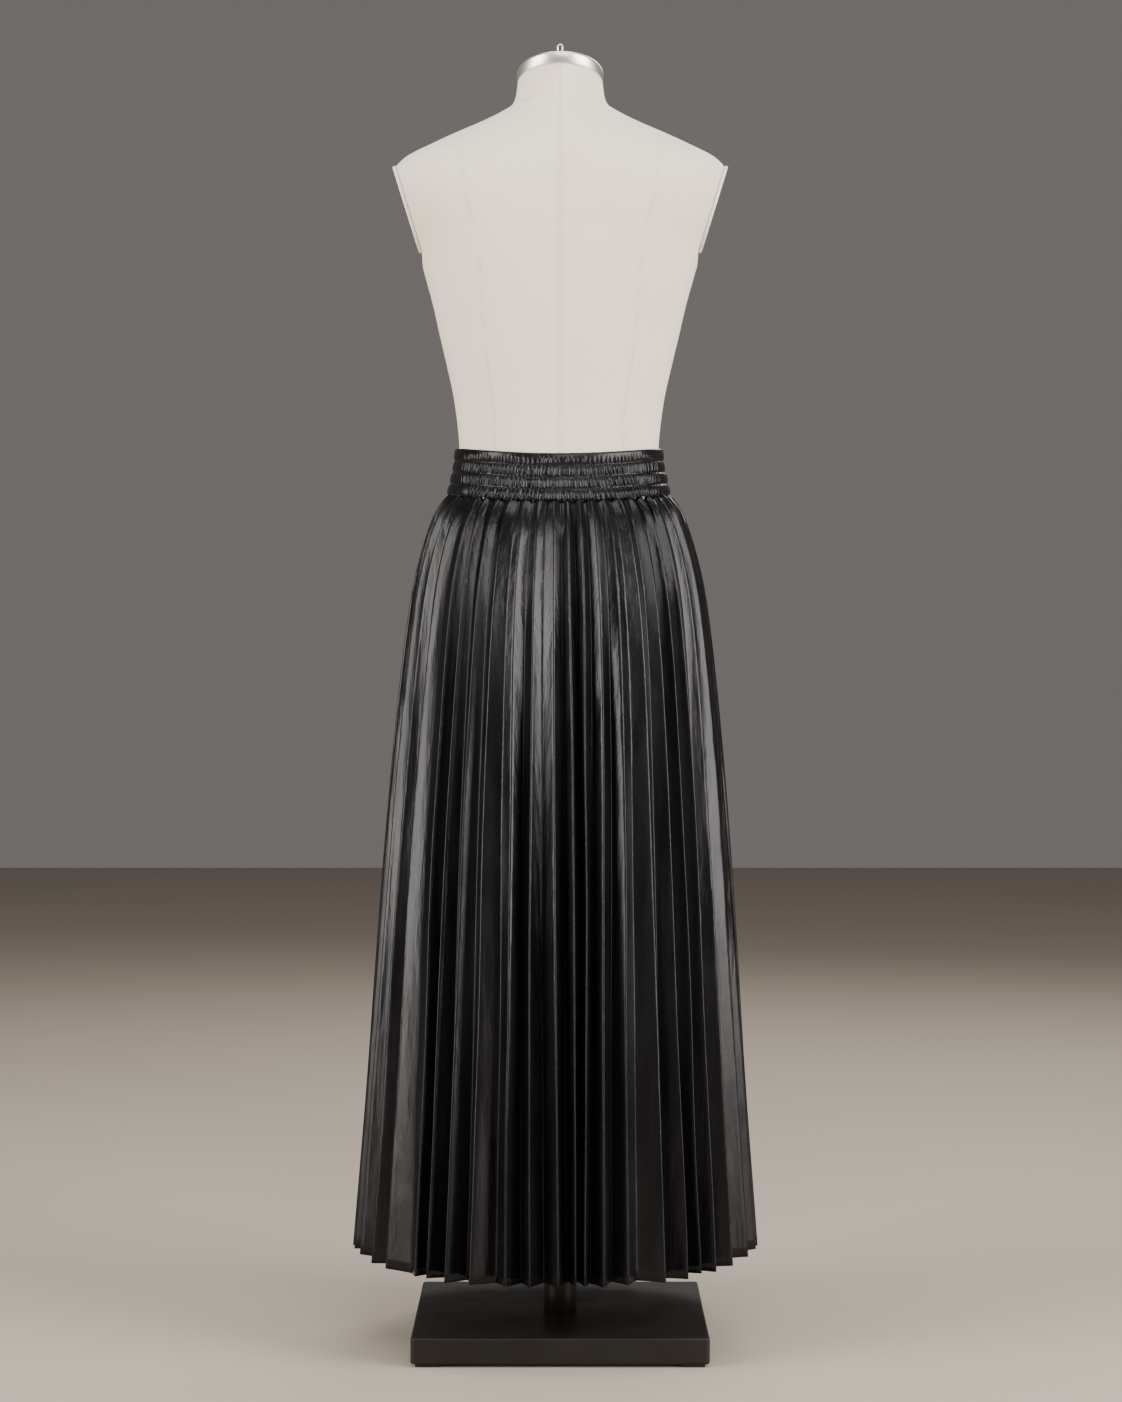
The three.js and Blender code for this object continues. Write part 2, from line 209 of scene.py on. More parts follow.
# Finishes.
cloth = {
    "black": (0.0022, 0.0020, 0.0026),
    "worn": (0.0050, 0.0047, 0.0062),  # where the coating has dulled
    "gloss": (0.2, 0.38),  # roughness, from the smoothest to the dullest
    "coat": 0.04,
    "coatRoughness": 0.2,
    "shine": 0.24,
    # lengthwise wrinkles, soft dents and fine grain: how many to a metre, how long, how deep
    "streaks": {"scale": 60, "lengthwise": 0.12, "depth": 0.0018, "strength": 0.65},
    "dents": {"scale": 13, "lengthwise": 0.35, "depth": 0.005, "strength": 0.6},
    "grain": {"scale": 420, "lengthwise": 1, "depth": 0.00015, "strength": 0.4},
}


# Lift makes the black paler, for the band that is stretched over its elastic.
def coatedCloth(name, lift=1.0):
    finish = Finish(name, **{"Specular IOR Level": cloth["shine"], "Coat Roughness": cloth["coatRoughness"],
                             "Coat Weight": cloth["coat"]})

    def relief(row, detail, roughness):
        return finish.noise(finish.place(scale=(1, 1, row["lengthwise"])), row["scale"], detail, roughness)

    streaks = relief(cloth["streaks"], 4, 0.6)
    dents = relief(cloth["dents"], 3, 0.55)
    grain = relief(cloth["grain"], 4, 0.6)
    worn = finish.stretch(streaks * 0.5 + dents * 0.5, 0.36, 0.68, 0, 1)
    dark, pale = (tuple(lift * part for part in cloth[key]) + (1,) for key in ("black", "worn"))
    color = finish.blend(worn, dark, pale)
    roughness = finish.stretch(dents * 0.6 + streaks * 0.4, 0.35, 0.66, *cloth["gloss"])
    normal = None
    for height, row in ((streaks, cloth["streaks"]), (dents, cloth["dents"]), (grain, cloth["grain"])):
        normal = finish.bump(height, row["depth"], row["strength"], normal)
    return finish.feed(Base_Color=color, Roughness=roughness, Normal=normal)


linenLook = {
    "thread": 0.00055,  # from one thread to the next
    "light": (0.90, 0.80, 0.68, 1),
    "dark": (0.84, 0.73, 0.60, 1),
    "seamColor": (0.52, 0.44, 0.36, 1),
}


def formLinen():
    finish = Finish("formLinen", **{"Specular IOR Level": 0.25, "Sheen Weight": 0.08, "Sheen Roughness": 0.5})
    uv = finish.place("UV")
    across, up, _ = finish.axes(uv)
    turns = 2 * math.pi / linenLook["thread"]
    weave = (across * turns).sine() * (up * turns).sine()
    slubs = (finish.noise(finish.place("UV", (1, 6, 1)), 260, 3)
             + finish.noise(finish.place("UV", (6, 1, 1)), 260, 3))
    mottle = finish.noise(finish.place(), 9, 4, 0.6)
    seam = finish.node("ShaderNodeAttribute", {"attribute_name": "seam"}).outputs["Fac"]
    seamLine = Signal(finish.tree, seam)
    color = finish.blend(finish.stretch(slubs * 0.3 + mottle * 0.4, 0.35, 0.65, 0, 1),
                         linenLook["light"], linenLook["dark"])
    color = finish.blend(seamLine * 0.28, color, linenLook["seamColor"])
    normal = finish.bump(weave, 0.00009, 0.5)
    normal = finish.bump(slubs, 0.00018, 0.35, normal)
    normal = finish.bump(1 - seamLine, 0.0009, 0.7, normal)
    roughness = finish.stretch(slubs, 0.7, 1.3, 0.78, 0.92)
    return finish.feed(Base_Color=color, Roughness=roughness, Normal=normal)


metalLook = {"light": (0.93, 0.90, 0.865, 1), "dull": (0.86, 0.83, 0.79, 1), "gloss": (0.3, 0.42)}


def capMetal():
    finish = Finish("capMetal", **{"Metallic": 1.0})
    brushed = finish.noise(finish.place("UV", (3, 240, 1)), 30, 3)
    cloudy = finish.noise(finish.place(), 25, 3)
    color = finish.blend(cloudy, metalLook["light"], metalLook["dull"])
    normal = finish.bump(brushed, 0.00008, 0.3)
    roughness = finish.stretch(brushed, 0.3, 0.7, *metalLook["gloss"])
    return finish.feed(Base_Color=color, Roughness=roughness, Normal=normal)


# A row for each plain finish: two colours and two roughnesses that it drifts between, how
# large the drifts are, and how fine and deep its grain is.
plainLooks = {
    "platePaint": {
        "colors": ((0.87, 0.81, 0.74, 1), (0.82, 0.755, 0.68, 1)), "gloss": (0.42, 0.55), "shine": 0.45,
        "drift": (30, 4, 0.5), "grain": (900, 2, 0.00004, 0.3),
    },
    "standPaint": {
        "colors": ((0.0085, 0.0072, 0.0064, 1), (0.0155, 0.013, 0.0115, 1)), "gloss": (0.34, 0.48),
        "shine": 0.22,
        "drift": (14, 4, 0.62), "grain": (1500, 2, 0.00006, 0.35),
    },
    "footRubber": {
        "colors": ((0.010, 0.010, 0.010, 1), (0.022, 0.021, 0.020, 1)), "gloss": (0.7, 0.9), "shine": 0.3,
        "drift": (800, 3, 0.5), "grain": (800, 3, 0.0001, 0.4),
    },
}


def plainFinish(name):
    look = plainLooks[name]
    finish = Finish(name, **{"Specular IOR Level": look["shine"]})
    drifts = finish.noise(finish.place(), *look["drift"])
    scale, detail, depth, strength = look["grain"]
    grain = finish.noise(finish.place(), scale, detail)
    return finish.feed(Base_Color=finish.blend(drifts, *look["colors"]),
                       Roughness=finish.stretch(drifts, 0.3, 0.7, *look["gloss"]),
                       Normal=finish.bump(grain, depth, strength))


def floorPaint():
    finish = Finish("floorPaint", **{"Roughness": 0.85, "Specular IOR Level": 0.2})
    color = finish.blend(finish.noise(finish.place(), 2, 3), *surroundings["floorColors"])
    return finish.feed(Base_Color=color)


# Shape tools.
def columnOf(rows, key):
    return np.array([row.get(key, 0.0) for row in rows], float)


# A smooth line through a table's points that never swings past them.
def smoothLine(places, values, at):
    at = np.asarray(at, float)
    step, rise = np.diff(places), np.diff(values) / np.diff(places)
    slope = np.zeros_like(values)
    slope[0], slope[-1] = rise[0], rise[-1]
    same = rise[:-1] * rise[1:] > 0
    first, second = 2 * step[1:] + step[:-1], step[1:] + 2 * step[:-1]
    before, after = np.where(same, rise[:-1], 1.0), np.where(same, rise[1:], 1.0)
    slope[1:-1] = np.where(same, (first + second) / (first / before + second / after), 0.0)
    i = np.clip(np.searchsorted(places, at, side="right") - 1, 0, len(step) - 1)
    t = np.clip((at - places[i]) / step[i], 0, 1)
    return ((1 + 2 * t) * (1 - t) ** 2 * values[i] + t * (1 - t) ** 2 * step[i] * slope[i]
            + t * t * (3 - 2 * t) * values[i + 1] + t * t * (t - 1) * step[i] * slope[i + 1])


def levelAt(rows, by, place):
    places = columnOf(rows, by)
    names = {key for row in rows for key in row if key != by}
    return {key: smoothLine(places, columnOf(rows, key), place) for key in sorted(names)}


# A slow random wave along x, between -1 and 1, the same on every run.
def wander(seed, x):
    knots = np.random.default_rng(seed).uniform(-1, 1, 512)
    x = np.asarray(x, float)
    cell = np.floor(x).astype(int)
    t = x - cell
    t = t * t * (3 - 2 * t)
    return knots[cell % 512] * (1 - t) + knots[(cell + 1) % 512] * t


def easeBetween(low, high, x):
    t = np.clip((np.asarray(x, float) - low) / (high - low), 0, 1)
    return t * t * (3 - 2 * t)


def makePiece(name, points, faces, material, uv=None, smooth=True):
    mesh = bpy.data.meshes.new(name)
    mesh.from_pydata([tuple(p) for p in points], [], faces)
    mesh.polygons.foreach_set("use_smooth", [smooth] * len(mesh.polygons))
    if uv is not None:
        layer = mesh.uv_layers.new(name="clothUV")
        corners = np.zeros(len(mesh.loops), int)
        mesh.loops.foreach_get("vertex_index", corners)
        layer.data.foreach_set("uv", np.asarray(uv, float)[corners].ravel())
    mesh.materials.append(material)
    mesh.update()
    piece = bpy.data.objects.new(name, mesh)
    scene.collection.objects.link(piece)
    return piece


# A closed solid through rings that run anticlockwise seen from above, from the bottom up.
def loftPiece(name, rings, material, uv=None):
    rings = np.asarray(rings, float)
    rows, columns = rings.shape[:2]
    faces = []
    for r in range(rows - 1):
        for c in range(columns):
            a, b = r * columns + c, r * columns + (c + 1) % columns
            faces.append((a, b, b + columns, a + columns))
    faces.append(tuple(range(columns))[::-1])
    faces.append(tuple((rows - 1) * columns + c for c in range(columns)))
    return makePiece(name, rings.reshape(-1, 3), faces, material, uv)


# The body's shape, shared by the form and the waistband.
plumb = {"share": 0.0043, "from": 1.380}  # the body hangs a little towards -X below the shoulders
formLevels = [
    {"height": 0.740, "side": 0.148, "back": 0.118, "front": 0.100, "full": 2.2},
    {"height": 0.780, "side": 0.156, "back": 0.124, "front": 0.106, "full": 2.2},
    {"height": 0.840, "side": 0.159, "back": 0.126, "front": 0.109, "full": 2.2},
    {"height": 0.900, "side": 0.150, "back": 0.117, "front": 0.107, "full": 2.15},
    {"height": 0.960, "side": 0.135, "back": 0.101, "front": 0.102, "full": 2.1},
    {"height": 0.990, "side": 0.1272, "back": 0.0935, "front": 0.0985, "full": 2.05},
    {"height": 1.010, "side": 0.1228, "back": 0.089, "front": 0.096, "full": 2},
    {"height": 1.030, "side": 0.119, "back": 0.0855, "front": 0.0935, "full": 2},
    {"height": 1.050, "side": 0.1172, "back": 0.084, "front": 0.092, "full": 2},
    {"height": 1.072, "side": 0.119, "back": 0.0845, "front": 0.094, "full": 2.05},
    {"height": 1.107, "side": 0.1239, "back": 0.088, "front": 0.098, "full": 2.1},
    {"height": 1.142, "side": 0.1315, "back": 0.092, "front": 0.103, "full": 2.15},
    {"height": 1.178, "side": 0.140, "back": 0.096, "front": 0.109, "full": 2.2},
    {"height": 1.213, "side": 0.148, "back": 0.099, "front": 0.115, "full": 2.3},
    {"height": 1.248, "side": 0.1575, "back": 0.102, "front": 0.119, "full": 2.35},
    {"height": 1.276, "side": 0.1656, "back": 0.1036, "front": 0.119, "full": 2.39},
    {"height": 1.284, "side": 0.168, "back": 0.104, "front": 0.119, "full": 2.4},
    {"height": 1.319, "side": 0.186, "back": 0.104, "front": 0.113, "full": 2.45},
    {"height": 1.350, "side": 0.196, "back": 0.101, "front": 0.104, "full": 2.5},
    {"height": 1.372, "side": 0.195, "back": 0.096, "front": 0.095, "full": 2.45, "forward": 0.001},
    {"height": 1.386, "side": 0.184, "back": 0.090, "front": 0.088, "full": 2.4, "forward": 0.002},
    {"height": 1.402, "side": 0.153, "back": 0.082, "front": 0.078, "full": 2.3,
     "forward": 0.003, "slant": 0.03},
    {"height": 1.4135, "side": 0.1275, "back": 0.075, "front": 0.070, "full": 2.2,
     "forward": 0.004, "slant": 0.06},
    {"height": 1.425, "side": 0.100, "back": 0.067, "front": 0.062, "full": 2.1,
     "forward": 0.006, "slant": 0.1},
    {"height": 1.436, "side": 0.076, "back": 0.0595, "front": 0.056, "full": 2.05,
     "forward": 0.008, "slant": 0.15},
    {"height": 1.447, "side": 0.0585, "back": 0.054, "front": 0.052, "full": 2,
     "forward": 0.010, "slant": 0.2},
    {"height": 1.459, "side": 0.0528, "back": 0.051, "front": 0.0505, "full": 2,
     "forward": 0.012, "slant": 0.26},
    {"height": 1.4775, "side": 0.050, "back": 0.049, "front": 0.049, "full": 2,
     "forward": 0.014, "slant": 0.32},
]
armhole = {"out": 0.189, "atHeight": 1.3663, "slope": 0.31, "foot": 1.276}


def drift(height):
    return -plumb["share"] * np.maximum(0, plumb["from"] - height)


# Points round a level: 0 is the -X side, a quarter turn the back, a half turn the +X side.
def roundPoints(level, turn, height, out=0.0):
    depth = np.where(np.sin(turn) > 0, level["back"], level["front"])
    power = 2 / np.asarray(level.get("full", 2.0))
    x = -level["side"] * np.sign(np.cos(turn)) * np.abs(np.cos(turn)) ** power
    y = -depth * np.sign(np.sin(turn)) * np.abs(np.sin(turn)) ** power
    outX = -depth * np.cos(turn)
    outY = -level["side"] * np.sin(turn)
    size = np.hypot(outX, outY)
    x = x + outX / size * out + drift(height)
    y = y + outY / size * out + level.get("forward", 0.0)
    x, y, height = np.broadcast_arrays(x, y, height)
    return np.stack([x, y, height], axis=-1)


def armholeOut(height):
    return armhole["out"] - armhole["slope"] * (armhole["atHeight"] - height)


def formRings(heights, steps, out=0.0, rise=0.0):
    heights = np.asarray(heights, float)[:, None]
    level = levelAt(formLevels, "height", heights)
    turn = np.linspace(0, 2 * np.pi, steps, endpoint=False)[None, :]
    rings = roundPoints(level, turn, heights, np.asarray(out, float).reshape(-1, 1))
    limit = armholeOut(np.maximum(heights, armhole["foot"]))
    rings[..., 0] = np.clip(rings[..., 0], -limit, limit)
    rings[..., 2] += np.asarray(rise, float).reshape(-1, 1)
    rings[..., 2] -= level["slant"] * (rings[..., 1] - level["forward"])
    return rings


# The form. Its seams are the middle, the curved side-back ones and the collar.
form = {"steps": 192, "rows": 230, "seamWidth": 0.0012, "seamReach": 0.13, "clothRound": 0.9}
# how far out the side-back seam runs at each height
sideBackSeam = [
    {"height": 0.74, "out": 0.074}, {"height": 1.058, "out": 0.074}, {"height": 1.188, "out": 0.088},
    {"height": 1.27, "out": 0.094}, {"height": 1.341, "out": 0.110}, {"height": 1.423, "out": 0.118},
]
collarSeam = {"height": 1.445, "slope": 0.28}


# How near each point is to a seam, from 0 to 1.
def seamCloseness(points):
    x, y, z = points.T
    x = x - drift(z)
    width = form["seamWidth"]
    middle = np.abs(x)
    side = np.abs(np.abs(x) - levelAt(sideBackSeam, "height", z)["out"])
    collar = np.abs(z - collarSeam["height"] + collarSeam["slope"] * y)
    near = np.minimum(np.where(np.abs(x) < form["seamReach"], side, 1), np.minimum(middle, collar))
    return 1 - easeBetween(0.2 * width, 1.6 * width, near)


def makeForm(material):
    places = np.linspace(0, 1, form["rows"])
    heights = formLevels[0]["height"] + places * (formLevels[-1]["height"] - formLevels[0]["height"])
    rings = formRings(heights, form["steps"])
    girth = np.linspace(0, form["clothRound"], form["steps"], endpoint=False)
    uv = np.stack(np.broadcast_arrays(girth[None, :], heights[:, None]), axis=-1).reshape(-1, 2)
    piece = loftPiece("formSkin", rings, material, uv)
    seam = piece.data.attributes.new("seam", "FLOAT", "POINT")
    seam.data.foreach_set("value", seamCloseness(rings.reshape(-1, 3)))
    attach(piece, "root")
    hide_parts("form_torso")
    return piece


neckCap = {"height": 0.0155, "overhang": 0.0008, "edgeRadius": 0.0045, "edgeSteps": 8, "steps": 128}


def makeNeckCap(material):
    radius, top = neckCap["edgeRadius"], neckCap["height"]
    turn = np.linspace(0, np.pi / 2, neckCap["edgeSteps"])
    # a fine lower edge, the band, its rounded top edge and the nearly flat top
    inset = np.concatenate([[0.0004, 0, 0], radius * (1 - np.cos(turn[1:])), [radius + 0.012, radius + 0.03]])
    rise = np.concatenate([[0, 0.0004, top - radius], top - radius * (1 - np.sin(turn[1:])),
                           [top + 0.0003, top + 0.0005]])
    rings = formRings(np.full(len(rise), formLevels[-1]["height"]), neckCap["steps"],
                      neckCap["overhang"] - inset, gap + rise)
    girth = np.linspace(0, 0.32, neckCap["steps"], endpoint=False)
    uv = np.stack(np.broadcast_arrays(girth[None, :], rise[:, None]), axis=-1).reshape(-1, 2)
    piece = loftPiece("neckCapShell", rings, material, uv)
    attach(piece, "root")
    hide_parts("neck_cap")


capLoop = {"wire": 0.0016, "bendSteps": 16, "sides": 12}


def makeCapLoop(material):
    low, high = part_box("cap_loop")
    radius = capLoop["wire"] / 2
    middleX, middleY = (low[0] + high[0]) / 2, (low[1] + high[1]) / 2
    half = (high[0] - low[0]) / 2 - radius
    top = high[2] - radius - half
    bend = np.linspace(np.pi, 0, capLoop["bendSteps"])
    arch = [(half * math.cos(a), top + half * math.sin(a)) for a in bend]
    path = [(-half, low[2])] + arch + [(half, low[2])]
    rings = []
    for i, (x, z) in enumerate(path):
        before, after = path[max(i - 1, 0)], path[min(i + 1, len(path) - 1)]
        along = Vector((after[0] - before[0], 0, after[1] - before[1])).normalized()
        across = Vector((along.z, 0, -along.x))
        centre = Vector((middleX + x, middleY, z))
        rings.append([centre + radius * (across * math.cos(a) + Vector((0, 1, 0)) * math.sin(a))
                      for a in np.linspace(0, 2 * np.pi, capLoop["sides"], endpoint=False)])
    piece = loftPiece("capWire", rings, material)
    outwards(piece)
    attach(piece, "root")
    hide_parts("cap_loop")


def outwards(piece):
    work = bmesh.new()
    work.from_mesh(piece.data)
    bmesh.ops.recalc_face_normals(work, faces=work.faces)
    work.to_mesh(piece.data)
    work.free()


armPlate = {
    "halfDepth": 0.040, "halfHeight": 0.053, "centre": 1.329,
    "thickness": 0.004, "edge": 0.0012, "steps": 96,
}


def makeArmPlates(material):
    edge, thick = armPlate["edge"], armPlate["thickness"]
    bend = np.linspace(0, np.pi / 2, 5)
    inset = np.concatenate([edge * (1 - np.sin(bend)), edge * (1 - np.cos(bend)), [0.012, 0.026]])
    rise = np.concatenate([edge * (1 - np.cos(bend)), thick - edge * (1 - np.sin(bend)), [thick, thick]])
    tilt = math.atan(armhole["slope"])
    turn = np.linspace(0, 2 * np.pi, armPlate["steps"], endpoint=False)
    for name, node, side in (("armPlateLeft", "arm_plate_left", -1), ("armPlateRight", "arm_plate_right", 1)):
        centre = Vector((side * armholeOut(armPlate["centre"]), 0, armPlate["centre"]))
        deep = Vector((0, 1, 0))
        tall = Vector((side * math.sin(tilt), 0, math.cos(tilt)))
        out = Vector((side * math.cos(tilt), 0, -math.sin(tilt)))
        rings = [[centre + out * (gap + up)
                  + deep * ((armPlate["halfDepth"] - shrink) * math.cos(a))
                  + tall * ((armPlate["halfHeight"] - shrink) * math.sin(a)) for a in turn]
                 for shrink, up in zip(inset, rise)]
        piece = loftPiece(name, rings, material)
        outwards(piece)
        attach(piece, "root")
        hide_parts(node)


# The stand.
stand = {
    "edgeRadius": 0.0028, "cornerRadius": 0.005,
    "poleSides": 96, "poleEdge": 0.0006,
    "footRadius": 0.004, "footEdge": 0.0006,
}


def blockPiece(name, box, corner, edge, material, node):
    (x0, y0, z0), (x1, y1, z1) = box
    work = bmesh.new()
    bmesh.ops.create_cube(work, size=1)
    for v in work.verts:
        v.co = Vector(((x0 + x1) / 2 + v.co.x * (x1 - x0), (y0 + y1) / 2 + v.co.y * (y1 - y0),
                       (z0 + z1) / 2 + v.co.z * (z1 - z0)))
    upright = [e for e in work.edges if abs(e.verts[0].co.z - e.verts[1].co.z) > 1e-6]
    bmesh.ops.bevel(work, geom=upright, offset=corner, segments=8, profile=0.5, affect="EDGES")
    rim = [e for e in work.edges if abs(e.verts[0].co.z - e.verts[1].co.z) < 1e-6 and len(e.link_faces) == 2
           and any(abs(f.normal.z) > 0.9 for f in e.link_faces)]
    bmesh.ops.bevel(work, geom=rim, offset=edge, segments=5, profile=0.5, affect="EDGES")
    mesh = bpy.data.meshes.new(name)
    work.to_mesh(mesh)
    work.free()
    mesh.polygons.foreach_set("use_smooth", [True] * len(mesh.polygons))
    mesh.materials.append(material)
    piece = bpy.data.objects.new(name, mesh)
    scene.collection.objects.link(piece)
    settle = piece.modifiers.new("flatFaces", "WEIGHTED_NORMAL")
    settle.keep_sharp = True
    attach(piece, "root")
    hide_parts(node)


def makeStand(paint, rubber):
    blockPiece("basePlate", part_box("base_plate"), stand["cornerRadius"], stand["edgeRadius"], paint,
               "base_plate")
    for i in range(1, 5):
        node = f"base_foot_{i}"
        blockPiece(f"basePad{i}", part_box(node), stand["footRadius"], stand["footEdge"], rubber,
                   node)
    low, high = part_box("stand_pole")
    radius, edge = (high[0] - low[0]) / 2, stand["poleEdge"]
    turn = np.linspace(0, 2 * np.pi, stand["poleSides"], endpoint=False)
    levels = [(radius - edge, low[2]), (radius, low[2] + edge), (radius, low[2] + 0.02),
              (radius, high[2] - 0.02), (radius, high[2] - edge), (radius - edge, high[2])]
    rings = [[(-r * math.cos(a), -r * math.sin(a), z) for a in turn] for r, z in levels]
    piece = loftPiece("standTube", rings, paint)
    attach(piece, "root")
    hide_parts("stand_pole")


# The waistband.
band = {
    "top": 1.0463, "height": 0.0538,
    "topBack": 0.010, "topFront": 0.003, "bottomBack": 0.0115, "bottomFront": 0.003,
    "columns": 760, "outerRows": 66, "innerRows": 8,
    "gatherWidth": (0.0033, 0.0062), "gatherDepth": 0.0044, "mostGathers": 420,
    "girth": 0.36,
    "flat": (0.50, 0.056),  # the outer layer of each half before it is gathered
}
bandLevels = [
    {"share": 0, "inside": 0.0015, "outside": 0.0042},
    {"share": 0.03, "inside": 0.0015, "outside": 0.0054},
    {"share": 0.12, "inside": 0.0013, "outside": 0.0056},
    {"share": 0.22, "inside": 0.0009, "outside": 0.0046},
    {"share": 0.25, "inside": 0.0006, "outside": 0.0036},
    {"share": 0.30, "inside": 0.0006, "outside": 0.0046},
    {"share": 0.38, "inside": 0.0006, "outside": 0.0051},
    {"share": 0.46, "inside": 0.0006, "outside": 0.0045},
    {"share": 0.50, "inside": 0.0006, "outside": 0.0037},
    {"share": 0.54, "inside": 0.0006, "outside": 0.0049},
    {"share": 0.62, "inside": 0.0006, "outside": 0.0055},
    {"share": 0.71, "inside": 0.0006, "outside": 0.0048},
    {"share": 0.75, "inside": 0.0006, "outside": 0.0038},
    {"share": 0.80, "inside": 0.0006, "outside": 0.0050},
    {"share": 0.89, "inside": 0.0006, "outside": 0.0057},
    {"share": 0.96, "inside": 0.0006, "outside": 0.0050},
    {"share": 1.0, "inside": 0.0006, "outside": 0.0036},
]
stitchRows = [0.25, 0.50, 0.75]


def bandDip(turn, back, front):
    return np.where(np.sin(turn) > 0, back, front) * np.sin(turn) ** 2


def bandHeightAt(turn, share):
    top = band["top"] - bandDip(turn, band["topBack"], band["topFront"])
    bottom = band["top"] - band["height"] - bandDip(turn, band["bottomBack"], band["bottomFront"])
    return top + (bottom - top) * share


# Rounded puffs with sharp creases between them, of uneven width and height, along x.
def puffs(seed, x):
    random = np.random.default_rng(seed)
    narrow, wide = band["gatherWidth"]
    count = band["mostGathers"]
    edges = np.cumsum(random.uniform(narrow, wide, count)) - 0.02
    strength = random.uniform(0.35, 1.0, count + 1)
    cell = np.clip(np.searchsorted(edges, x), 1, count - 1)
    t = np.clip((x - edges[cell - 1]) / (edges[cell] - edges[cell - 1]), 0, 1)
    return strength[cell] * np.sin(np.pi * t) ** 0.7 - 0.42


def bandGathers(turn, share, seed):
    fade = 1 - 0.8 * easeBetween(0.72, 0.97, np.abs(np.cos(turn)))
    along = turn / np.pi * band["girth"]
    total = np.zeros_like(along + share)
    for channel, (top, bottom) in enumerate(zip(stitchRows, stitchRows[1:] + [1.0])):
        inside = (share - top) / (bottom - top)
        window = easeBetween(0.02, 0.2, inside) * (1 - easeBetween(0.82, 0.99, inside))
        window = window * (0.7 + 0.3 * np.abs(2 * inside - 1))
        lean = 0.0014 * wander(seed + 31 + channel, along / 0.03) * (inside - 0.5)
        own = puffs(seed + channel, along + lean)
        shared = puffs(seed + 11, along + lean + 0.0009 * channel)
        total = total + window * (0.62 * own + 0.38 * shared)
    heading = easeBetween(0.05, 0.22, share) * (1 - easeBetween(0.225, 0.25, share))
    total = total + 0.5 * heading * puffs(seed + 21, along)
    soft = wander(seed + 41, along / 0.021 + 2.2 * share) * (1 - easeBetween(0.16, 0.24, share))
    return band["gatherDepth"] * total * fade + 0.0005 * soft * fade


def bandPoint(turn, share, out):
    height = bandHeightAt(turn, share)
    return roundPoints(levelAt(formLevels, "height", height), turn, height, out)


def makeBand(name, node, firstTurn, seamSide, seed, material):
    turn = firstTurn + np.linspace(0, np.pi, band["columns"])[None, :]
    outerShare = np.linspace(0, 1, band["outerRows"])[:, None]
    innerShare = np.linspace(1, 0, band["innerRows"])[:, None]
    outside = levelAt(bandLevels, "share", outerShare)["outside"]
    inside = levelAt(bandLevels, "share", innerShare)["inside"]
    outer = bandPoint(turn, outerShare, outside + bandGathers(turn, outerShare, seed))
    inner = bandPoint(turn, innerShare, inside + 0 * turn)
    grid = np.concatenate([outer, inner])
    grid[:, [0, -1], 1] = seamSide * gap / 2
    rows, columns = grid.shape[:2]
    index = np.arange(rows * columns).reshape(rows, columns)
    faces = []
    for r in range(rows):
        low = (r + 1) % rows
        for c in range(columns - 1):
            faces.append((index[low, c], index[low, c + 1], index[r, c + 1], index[r, c]))
    faces.append(tuple(index[::-1, 0]))
    faces.append(tuple(index[:, -1]))
    piece = makePiece(name, grid.reshape(-1, 3), [tuple(int(v) for v in f) for f in faces], material)
    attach(piece, "root")
    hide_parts(node)


# Stitches: a tree that sets short thread pieces along a line.
thread = {"pitch": 0.0029, "length": 0.0019, "width": 0.00034, "lift": 0.0001}


def stitchTree():
    tree = bpy.data.node_groups.new("stitchAlongLine", "GeometryNodeTree")
    add = tree.interface.new_socket
    add("Geometry", in_out="INPUT", socket_type="NodeSocketGeometry")
    for label, key in (("Pitch", "pitch"), ("Length", "length"), ("Width", "width")):
        add(label, in_out="INPUT", socket_type="NodeSocketFloat").default_value = thread[key]
    add("Thread", in_out="INPUT", socket_type="NodeSocketMaterial")
    add("Geometry", in_out="OUTPUT", socket_type="NodeSocketGeometry")
    nodes, links = tree.nodes, tree.links
    start, end = nodes.new("NodeGroupInput"), nodes.new("NodeGroupOutput")
    line = nodes.new("GeometryNodeMeshToCurve")
    spaced = nodes.new("GeometryNodeResampleCurve")
    spaced.mode = "LENGTH"
    along = nodes.new("GeometryNodeInputTangent")
    turned = nodes.new("FunctionNodeAlignRotationToVector")
    turned.axis = "Z"
    bead = nodes.new("GeometryNodeMeshUVSphere")
    bead.inputs["Segments"].default_value = 6
    bead.inputs["Rings"].default_value = 5
    bead.inputs["Radius"].default_value = 0.5
    size = nodes.new("ShaderNodeCombineXYZ")
    laid = nodes.new("GeometryNodeInstanceOnPoints")
    real = nodes.new("GeometryNodeRealizeInstances")
    dyed = nodes.new("GeometryNodeSetMaterial")
    links.new(start.outputs["Geometry"], line.inputs["Mesh"])
    links.new(line.outputs["Curve"], spaced.inputs["Curve"])
    links.new(start.outputs["Pitch"], spaced.inputs["Length"])
    links.new(along.outputs["Tangent"], turned.inputs["Vector"])
    for axis, source in (("X", "Width"), ("Y", "Width"), ("Z", "Length")):
        links.new(start.outputs[source], size.inputs[axis])
    links.new(spaced.outputs["Curve"], laid.inputs["Points"])
    links.new(bead.outputs["Mesh"], laid.inputs["Instance"])
    links.new(turned.outputs["Rotation"], laid.inputs["Rotation"])
    links.new(size.outputs[0], laid.inputs["Scale"])
    links.new(laid.outputs["Instances"], real.inputs["Geometry"])
    links.new(real.outputs["Geometry"], dyed.inputs["Geometry"])
    links.new(start.outputs["Thread"], dyed.inputs["Material"])
    links.new(dyed.outputs["Geometry"], end.inputs["Geometry"])
    return tree


